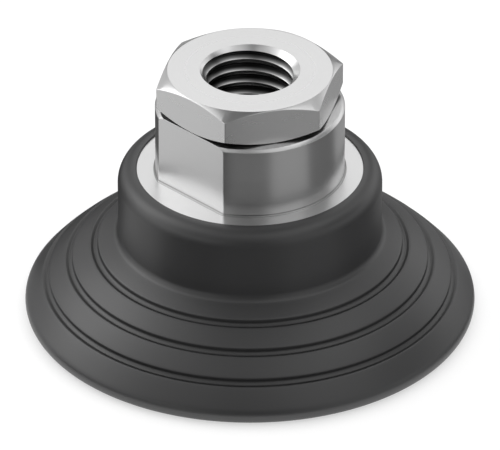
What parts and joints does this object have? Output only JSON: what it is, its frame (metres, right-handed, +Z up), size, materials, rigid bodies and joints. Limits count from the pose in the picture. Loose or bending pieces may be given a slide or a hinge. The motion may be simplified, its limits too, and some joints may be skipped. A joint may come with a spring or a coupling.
{
  "type": "vacuum gripper",
  "caption": "Round rubber suction cup with ring grooves and inner support cleats on a turned metal hub, topped by a hexagonal adapter with a female thread.",
  "frame": {"origin": "centre of the circle on which the lip rests, at the lowest point of the cup", "axes": "+Z up along the cup's axis, out of the threaded hole; the two wrench flats of the hub face +Y and -Y, and corners of the hexagon point along +X and -X"},
  "size_m": [0.06, 0.06, 0.0363],
  "materials": {
    "cup_rubber": "satin moulded rubber",
    "hub_metal": "fine turned",
    "hex_metal": "fine turned",
    "seal_rubber": "matt"
  },
  "bodies": {
    "root": {"suction_cup": "cup_rubber", "hub": "hub_metal", "hex_adapter": "hex_metal", "seal_ring": "seal_rubber"}
  },
  "joints": []
}
